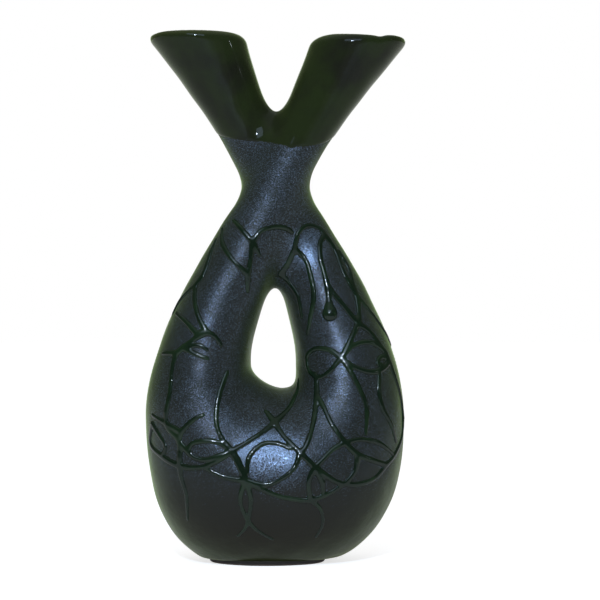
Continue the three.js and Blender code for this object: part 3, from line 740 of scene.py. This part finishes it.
# Trailed glaze. Front strokes are drawn in the front view, x and z in millimetres from the middle of the
# table line, as seen by the camera, and lie where they meet the clay. A place where strokes meet is in each.
frontStrokes = [
    # left shoulder
    [(-24, 194.5), (-19.5, 189.5), (-13, 182)],
    [(-13, 182), (-14, 172.5), (-15.5, 163), (-16, 154)],
    [(-13, 182), (-8.5, 188), (-1.5, 190.5), (5.5, 190), (9.5, 187.5)],
    [(-13, 182), (-9, 174)],
    [(-30.5, 189.5), (-30, 181), (-25, 172.5), (-15.5, 163)],
    [(-37, 177.5), (-40, 166), (-45.5, 157.5), (-54.5, 148.5), (-58.5, 141)],
    [(-45.5, 157.5), (-46, 149), (-44, 139.5), (-39, 130.5)],
    [(-34, 183.5), (-38.5, 171), (-41.5, 162)],
    # left flank
    [(-56.5, 141.5), (-51.5, 137), (-44.5, 129.5)],
    [(-44.5, 129.5), (-39, 130.5), (-34, 127.5), (-31, 123)],
    [(-39, 130.5), (-48, 125.5), (-52.5, 122), (-56.5, 119), (-64, 118.5)],
    [(-52.5, 122), (-46.5, 118.5), (-38.5, 115.5)],
    [(-52.5, 122), (-43.5, 123), (-39, 120.5)],
    [(-56.5, 119), (-59, 109), (-60, 96.5), (-62, 78.5), (-55, 68.5), (-54.5, 54.5), (-53.5, 47.5),
     (-50.5, 36.5), (-50, 23.5)],
    [(-70, 83.5), (-62, 78.5), (-53.5, 73.5)],
    [(-55, 68.5), (-53.5, 73.5), (-47, 80.5), (-41, 83.5)],
    [(-70, 78.5), (-71, 67.5), (-64.5, 60), (-54.5, 54.5), (-43, 53.5), (-33.5, 57), (-25, 62.5)],
    [(-70, 78.5), (-66, 71.5), (-62.5, 65.5), (-64.5, 60)],
    [(-50, 62.5), (-47.5, 67), (-41.5, 68.5), (-33.5, 68), (-26.5, 64), (-21.5, 58.5), (-17, 46)],
    [(-50, 62.5), (-46, 59), (-38.5, 58), (-25, 62.5)],
    [(-55, 68.5), (-50, 62.5)],
    # middle
    [(-27.5, 108), (-31.5, 96.5), (-33.5, 86.5), (-33.5, 78), (-31, 71), (-25, 62.5), (-21, 54), (-17, 46)],
    [(-41, 53.5), (-29, 48), (-17, 46)],
    [(-17, 46), (-20, 37), (-19, 30), (-15.5, 23)],
    [(-17, 46), (-14, 35.5), (-15.5, 23)],
    [(-15.5, 23), (-17.5, 18.5), (-21.5, 14.5)],
    [(-15.5, 23), (-10, 17.5), (-1.5, 12.5)],
    [(-25, 62.5), (-17, 67.5), (-7.5, 73.5), (-0.5, 79), (7.5, 87), (11.5, 95), (13, 103.5)],
    [(-5.5, 85.5), (-0.5, 79), (5, 71), (14, 62), (22.5, 53.5)],
    [(-16, 50), (-15.5, 58), (-11.5, 64), (-5.5, 67.5), (2, 67), (8.5, 64)],
    [(14, 62), (11, 53.5), (3.5, 47), (-6, 43.5), (-17, 46)],
    # right belly
    [(23, 107), (23.5, 94.5), (21.5, 78.5), (17.5, 66), (14, 62)],
    [(23.5, 94.5), (27.5, 88), (32, 78.5), (39.5, 67.5)],
    [(39.5, 67.5), (33, 64), (27, 58), (22.5, 53.5)],
    [(39.5, 67.5), (48.5, 69.5), (58.5, 67.5), (66.5, 61.5)],
    [(39.5, 67.5), (46.5, 61), (55.5, 57.5), (63, 55)],
    [(46.5, 61), (46, 53), (41, 46), (31, 39), (20, 35), (10, 35.5), (-2, 38.5), (-17, 46)],
    [(22.5, 53.5), (19, 45.5), (20, 35)],
    [(22.5, 53.5), (26.5, 45.5), (27, 39.5)],
    [(22.5, 53.5), (34.5, 45.5), (46.5, 44), (56.5, 47.5), (63, 55)],
    [(20, 35), (25.5, 30), (27, 22), (23, 14)],
    [(63, 55), (68, 61), (72, 71.5), (72.5, 82)],
    # leaves
    [(37.5, 116), (30.5, 120.5), (22.5, 121), (18, 116.5), (19, 109), (25, 105), (31, 108.5), (37.5, 116)],
    [(37.5, 116), (43.5, 122.5), (52, 125), (60, 122), (64, 115.5), (62, 110.5), (55, 108), (45.5, 110.5),
     (37.5, 116)],
    [(64, 115.5), (60, 116.5), (58.5, 113), (62, 110.5)],
    [(37.5, 116), (43.5, 107), (48.5, 97), (52, 86.5), (51.5, 72.5)],
    [(46.5, 151), (47.5, 142.5), (47, 136), (42.5, 125.5), (37.5, 116)],
    [(59, 108.5), (59, 96.5), (61.5, 86.5), (66, 77.5), (68.5, 68.5)],
    [(64, 115.5), (68.5, 103.5), (71.5, 92), (72.5, 82)],
    # right shoulder
    [(11, 178), (12.5, 185.5), (15.5, 190), (20, 191.5), (25.5, 189.5), (28, 186)],
    [(28, 186), (25.5, 181.5), (25.5, 173.5), (27.5, 165.5), (29.5, 157.5), (30.5, 149), (31, 141)],
    [(28, 186), (34, 177.5), (39, 164.5), (46.5, 151)],
    [(36, 177), (41.5, 167.5), (44, 159), (46.5, 151)],
    [(46.5, 151), (54, 142.5), (60.5, 133.5), (66, 123.5)],
    [(29.5, 157.5), (33.5, 152), (39, 145.5), (47, 136), (54, 130.5), (60, 122)],
    [(11, 178), (17, 172), (20, 163), (22, 151), (20, 139), (18.5, 129.5)],
    [(11, 178), (7, 169.5), (3, 163.5)],
    [(3, 163.5), (9, 157.5), (13, 150.5), (15, 139)],
]

# Back strokes are drawn along the ribbon: how far along it, from 0 at the right mouth over 3 in the middle of
# the belly to 6 at the left mouth, and the angle round it, 270 down the middle of the back.
backStrokes = [
    [(1.46, 268), (1.6, 282), (1.8, 290), (2, 284)],
    [(1.66, 214), (1.64, 234), (1.6, 258), (1.6, 282), (1.5, 318)],
    [(1.8, 290), (1.86, 318), (2.04, 336), (2.2, 324), (2.2, 298), (2, 284)],
    [(2, 284), (2.16, 262), (2.3, 240), (2.54, 232), (2.8, 240)],
    [(2.2, 298), (2.44, 290), (2.7, 282), (2.9, 272)],
    [(2.3, 240), (2.5, 258), (2.7, 282), (2.8, 306), (2.84, 320)],
    [(2.8, 240), (2.94, 254), (2.9, 272), (3.06, 288), (3.3, 294), (3.5, 286)],
    [(2.8, 240), (3.06, 236), (3.3, 244), (3.46, 262), (3.5, 286), (3.62, 312), (3.8, 330)],
    [(3.3, 294), (3.24, 314), (3.3, 326)],
    [(3.3, 244), (3.5, 232), (3.74, 226), (3.96, 232), (4.1, 250)],
    [(3.46, 262), (3.7, 264), (3.92, 268), (4.1, 250)],
    [(3.92, 268), (3.96, 296), (4.06, 322)],
    [(4.1, 250), (4.24, 262), (4.36, 284), (4.3, 310), (4.18, 300), (4.24, 262)],
    [(4.36, 284), (4.5, 268), (4.62, 278), (4.72, 300), (4.84, 284)],
    [(4.5, 268), (4.44, 240), (4.38, 214)],
]

trailSizes = {
    "width": 2.15,
    "height": 0.56,               # share of the bead's half width that stands above the clay
    "spacing": 0.45,
    "grain": 0.54,                # fineness of the surface
    "unevenness": 0.34,
    "smoothing": 5,
    "meetingSwell": 1.32,         # how much wider a trail is where it meets another
    "endTaper": 0.72,
    "lowShare": 0.55,             # how wide a trail is low on the belly, where the glaze ran thin
    "lowOver": (20, 50),          # heights over which it gets so thin
    "dropSwell": 3.7,
    "seed": 4.0,
}
dripEnd = (31, 141)               # the run of glaze that froze in a drop


# Where a place of the front view meets the clay, seen from the camera
def castOnFront(places):
    c = cameraSetup
    eye = np.array([c["x"], -c["distance"], c["height"]])
    onPlane = np.array([(x, 0.0, z) for x, z in places])
    shares = np.linspace(0.95, 1.01, 160)
    rays = eye + (onPlane - eye)[:, None, :] * shares[None, :, None]
    distances = bodyDistance(rays.reshape(-1, 3)).reshape(len(places), len(shares))
    hit = np.where((distances < 0).any(axis=1), (distances < 0).argmax(axis=1),
                   np.abs(distances).argmin(axis=1))
    return settle(bodyDistance, rays[np.arange(len(places)), hit], rounds=5)


def placeOnRibbon(places):
    points = []
    for along, degrees in places:
        onLeft = along <= middleStation
        ribbon, turn = (leftRibbon, 1) if onLeft else (rightRibbon, -1)
        station = along if onLeft else 2 * middleStation - along
        angle = math.radians(degrees) * turn

        def read(values):
            return np.interp(station, ribbon["station"], values)

        s = read(ribbon["halfWidth"]) * math.cos(angle)
        y = read(ribbon["offset"]) - turn * read(ribbon["halfDepth"]) * math.sin(angle)
        points.append((read(ribbon["centre"][:, 0]) + read(ribbon["across"][:, 0]) * s, y,
                       read(ribbon["centre"][:, 1]) + read(ribbon["across"][:, 1]) * s))
    return settle(bodyDistance, np.array(points), rounds=5)


def strokeCurve(name, strokes, placed):
    low = trailSizes["lowShare"]
    curve = bpy.data.curves.new(name, "CURVE")
    curve.dimensions = "3D"
    meetings = {}
    for stroke in strokes:
        for place in set(stroke):
            meetings[place] = meetings.get(place, 0) + 1
    for stroke in strokes:
        spline = curve.splines.new("POLY")
        spline.points.add(len(stroke) - 1)
        for i, (place, point) in enumerate(zip(stroke, placed(stroke))):
            spline.points[i].co = (*(point * millimetre), 1)
            free = i in (0, len(stroke) - 1) and meetings[place] == 1
            radius = trailSizes["endTaper"] if free else 1.0
            if meetings[place] > 1:
                radius = trailSizes["meetingSwell"]
            if place == dripEnd:
                radius = trailSizes["dropSwell"]
            upper = float(smoothStep(point[2], *trailSizes["lowOver"]))
            spline.points[i].radius = radius * (low + (1 - low) * upper)
    piece = bpy.data.objects.new(name, curve)
    bpy.context.collection.objects.link(piece)
    return piece


# Strokes become beads of glaze: rounded lines pressed onto the body, run together where they meet
def trailedGlazeTree():
    tree = bpy.data.node_groups.new("trailed glaze", "GeometryNodeTree")
    tree.interface.new_socket("Geometry", in_out="OUTPUT", socket_type="NodeSocketGeometry")
    for name, kind in (("Geometry", "Geometry"), ("Body", "Object"), ("Glaze", "Material"),
                       ("Half width", "Float"), ("Height share", "Float"), ("Spacing", "Float"),
                       ("Grain", "Float"), ("Unevenness", "Float"), ("Smoothing", "Int"), ("Seed", "Float")):
        tree.interface.new_socket(name, in_out="INPUT", socket_type="NodeSocket" + kind)
    bench = NodeBench(tree)
    given = bench.add("NodeGroupInput").outputs
    body = bench.add("GeometryNodeObjectInfo", Object=given["Body"]).outputs["Geometry"]

    def onBody():
        near = bench.add("GeometryNodeProximity", {"target_element": "FACES"}, Geometry=body)
        return near.outputs["Position"]

    smooth = bench.add("GeometryNodeCurveSplineType", {"spline_type": "CATMULL_ROM"}, Curve=given["Geometry"])
    even = bench.add("GeometryNodeResampleCurve", {"mode": "LENGTH"}, Curve=smooth.outputs[0],
                     Length=given["Spacing"])
    laid = bench.add("GeometryNodeSetPosition", Geometry=even.outputs[0], Position=onBody())
    wander = bench.add("ShaderNodeTexNoise", {"noise_dimensions": "4D"}, W=given["Seed"], Scale=70.0,
                       Detail=1.0)
    swing = bench.maths("MULTIPLY", bench.maths("SUBTRACT", wander.outputs[0], 0.5),
                        bench.maths("MULTIPLY", given["Unevenness"], 2.0))
    radius = bench.maths("MULTIPLY", bench.add("GeometryNodeInputRadius").outputs[0],
                         bench.maths("MULTIPLY", given["Half width"], bench.maths("ADD", swing, 1.0)))
    dots = bench.add("GeometryNodeCurveToPoints", {"mode": "EVALUATED"}, Curve=laid.outputs[0])
    inset = bench.maths("MULTIPLY", given["Grain"], 1.5)
    cloud = bench.add("GeometryNodePointsToVolume", {"resolution_mode": "VOXEL_SIZE"},
                      Points=dots.outputs["Points"], Voxel_Size=given["Grain"],
                      Radius=bench.maths("ADD", radius, inset))
    skin = bench.add("GeometryNodeVolumeToMesh", {"resolution_mode": "GRID"}, Volume=cloud.outputs[0],
                     Threshold=0.5)
    here = bench.add("GeometryNodeInputPosition").outputs[0]
    blur = bench.add("GeometryNodeBlurAttribute", {"data_type": "FLOAT_VECTOR"},
                     Iterations=given["Smoothing"])
    bench.plug(blur, "Value", here)
    soft = bench.add("GeometryNodeSetPosition", Geometry=skin.outputs[0],
                     Position=next(s for s in blur.outputs if s.enabled))
    nearest = onBody()
    rise = bench.add("ShaderNodeVectorMath", {"operation": "SUBTRACT"})
    tree.links.new(bench.add("GeometryNodeInputPosition").outputs[0], rise.inputs[0])
    tree.links.new(nearest, rise.inputs[1])
    lower = bench.add("ShaderNodeVectorMath", {"operation": "SCALE"})
    tree.links.new(rise.outputs[0], lower.inputs[0])
    tree.links.new(given["Height share"], lower.inputs["Scale"])
    placed = bench.add("ShaderNodeVectorMath", {"operation": "ADD"})
    tree.links.new(nearest, placed.inputs[0])
    tree.links.new(lower.outputs[0], placed.inputs[1])
    pressed = bench.add("GeometryNodeSetPosition", Geometry=soft.outputs[0], Position=placed.outputs[0])
    shaded = bench.add("GeometryNodeSetShadeSmooth", Geometry=pressed.outputs[0])
    real = bench.add("GeometryNodeRealizeInstances", Geometry=shaded.outputs[0])
    glazed = bench.add("GeometryNodeSetMaterial", Geometry=real.outputs[0], Material=given["Glaze"])
    bench.add("NodeGroupOutput", Geometry=glazed.outputs[0])
    return tree


def trailPiece(name, strokes, placed, tree):
    t = trailSizes
    holder = strokeCurve(name + "_strokes", strokes, placed)
    modifier = holder.modifiers.new("trailed glaze", "NODES")
    modifier.node_group = tree
    keys = {item.name: item.identifier for item in tree.interface.items_tree if item.in_out == "INPUT"}
    modifier[keys["Body"]] = bodyPiece
    modifier[keys["Glaze"]] = trailedGloss
    modifier[keys["Half width"]] = t["width"] / 2 * millimetre
    modifier[keys["Height share"]] = t["height"]
    modifier[keys["Spacing"]] = t["spacing"] * millimetre
    modifier[keys["Grain"]] = t["grain"] * millimetre
    modifier[keys["Unevenness"]] = t["unevenness"]
    modifier[keys["Smoothing"]] = t["smoothing"]
    modifier[keys["Seed"]] = t["seed"]
    depsgraph = bpy.context.evaluated_depsgraph_get()
    mesh = bpy.data.meshes.new_from_object(holder.evaluated_get(depsgraph))
    mesh.name = name
    piece = bpy.data.objects.new(name, mesh)
    bpy.context.collection.objects.link(piece)
    bpy.data.objects.remove(holder)
    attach(piece, "root")
    print("  ", name, len(mesh.polygons), "faces")
    return piece


# Camera level with the middle of the vase and a little to its right, as in the photo
cameraSetup = {"x": 14.0, "distance": 1200.0, "height": 149.0, "frameWidth": 342.0, "sensor": 36}

print("trailing the glaze")
glazeTree = trailedGlazeTree()
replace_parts(trailPiece("trails_front", frontStrokes, castOnFront, glazeTree), "front_trails")
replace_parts(trailPiece("trails_back", backStrokes, placeOnRibbon, glazeTree), "back_trails")


def addCamera():
    c = cameraSetup
    data = bpy.data.cameras.new("camera")
    data.sensor_width = c["sensor"]
    data.lens = c["sensor"] * c["distance"] / c["frameWidth"]
    camera = bpy.data.objects.new("camera", data)
    camera.location = Vector((c["x"], -c["distance"], c["height"])) * millimetre
    camera.rotation_euler = (math.radians(90), 0, 0)
    bpy.context.collection.objects.link(camera)
    bpy.context.scene.camera = camera


# Azimuths are from the front, positive to the right. Brightness is what a mirror would show of the lamp.
lampSetup = [
    {"name": "window", "azimuth": -5, "elevation": 33, "distance": 1.4, "width": 0.80, "height": 0.50,
     "brightness": 4.7, "colour": (0.58, 0.75, 1.0)},
    {"name": "spot", "azimuth": -6, "elevation": 23, "distance": 1.3, "width": 0.06, "height": 0.06,
     "brightness": 740.0, "colour": (0.66, 0.80, 1.0)},
    {"name": "side_lamp", "azimuth": 74, "elevation": 13, "distance": 1.5, "width": 0.03, "height": 0.03,
     "brightness": 70.0, "colour": (0.85, 0.93, 1.0)},
]
lampAim = (0, 0, 0.15)

# The floor looks as white as the backdrop. Its mirror image in the glaze is dimmer and fades out towards the
# front of the studio.
roomSetup = {
    "background": (1, 1, 1, 1),
    "front": (0.09, 0.095, 0.10, 1),
    "side": (0.12, 0.14, 0.10, 1),
    "above": (0.50, 0.54, 0.52, 1),
    "behind": (1, 1, 1, 1),
    "soft": (0.42, 0.42, 0.42, 1),
    "floor": 0.8,
    "floorShine": 0.70,
    "floorMirrored": 0.5,
    "floorFades": (-0.25, -0.6),
    "floorReach": 6.0,
    "sideOver": (-0.9, 0.1),      # front turns to side over these shares of the way back
    "aboveOver": (0.55, 0.9),
    "behindOver": (0.86, 1.0),
}


def addLamps():
    aim = Vector(lampAim)
    for lamp in lampSetup:
        azimuth, elevation = math.radians(lamp["azimuth"]), math.radians(lamp["elevation"])
        away = Vector((math.sin(azimuth) * math.cos(elevation), -math.cos(azimuth) * math.cos(elevation),
                       math.sin(elevation)))
        data = bpy.data.lights.new(lamp["name"], "AREA")
        data.shape = "RECTANGLE"
        data.size = lamp["width"]
        data.size_y = lamp["height"]
        data.energy = lamp["brightness"] * math.pi * lamp["width"] * lamp["height"]
        data.color = lamp["colour"]
        piece = bpy.data.objects.new(lamp["name"], data)
        piece.location = aim + away * lamp["distance"]
        piece.rotation_euler = away.to_track_quat("Z", "Y").to_euler()
        bpy.context.collection.objects.link(piece)


# A dim room in front, a white backdrop behind, and plain soft light on the vase
def addRoom():
    r = roomSetup
    world = bpy.data.worlds.new("studio")
    world.use_nodes = True
    world.node_tree.nodes.clear()
    bench = NodeBench(world.node_tree)
    towards = bench.add("ShaderNodeTexCoord").outputs["Generated"]
    split = bench.add("ShaderNodeSeparateXYZ", Vector=towards)
    y = split.outputs["Y"]
    seen = bench.blend(bench.spread(y, *r["sideOver"]), r["front"], r["side"])
    seen = bench.blend(bench.spread(split.outputs["Z"], *r["aboveOver"]), seen, r["above"])
    seen = bench.blend(bench.spread(y, *r["behindOver"]), seen, r["behind"])
    path = bench.add("ShaderNodeLightPath").outputs
    colour = bench.blend(path["Is Diffuse Ray"], seen, r["soft"])
    colour = bench.blend(path["Is Camera Ray"], colour, r["background"])
    sky = bench.add("ShaderNodeBackground", Color=colour, Strength=1.0)
    bench.add("ShaderNodeOutputWorld", Surface=sky.outputs[0])
    bpy.context.scene.world = world


def addFloor():
    r = roomSetup
    mesh = bpy.data.meshes.new("floor")
    reach = r["floorReach"]
    corners = [(-reach, -reach, 0), (reach, -reach, 0), (reach, reach, 0), (-reach, reach, 0)]
    mesh.from_pydata(corners, [], [(0, 1, 2, 3)])
    floor = bpy.data.objects.new("floor", mesh)
    bpy.context.collection.objects.link(floor)
    material = bpy.data.materials.new("pale floor")
    material.use_nodes = True
    bench = NodeBench(material.node_tree)
    shader = material.node_tree.nodes["Principled BSDF"]
    bench.plug(shader, "Base Color", (r["floor"], r["floor"], r["floor"], 1))
    bench.plug(shader, "Roughness", 0.9)
    bench.plug(shader, "Specular IOR Level", 0.0)
    path = bench.add("ShaderNodeLightPath").outputs
    place = bench.add("ShaderNodeTexCoord").outputs["Object"]
    y = bench.add("ShaderNodeSeparateXYZ", Vector=place).outputs["Y"]
    fade = bench.spread(y, r["floorFades"][1], r["floorFades"][0], 0.0, r["floorMirrored"])
    mirrored = bench.maths("MAXIMUM", path["Is Glossy Ray"], path["Is Transmission Ray"])
    seen = bench.maths("MAXIMUM", path["Is Camera Ray"], bench.maths("MULTIPLY", mirrored, fade))
    bright = bench.maths("MULTIPLY", seen, r["floorShine"])
    bench.plug(shader, "Emission Color", (1, 1, 1, 1))
    bench.plug(shader, "Emission Strength", bright)
    mesh.materials.append(material)


print("setting up the studio")
addCamera()
addLamps()
addRoom()
addFloor()
bpy.context.scene.view_settings.view_transform = "Standard"
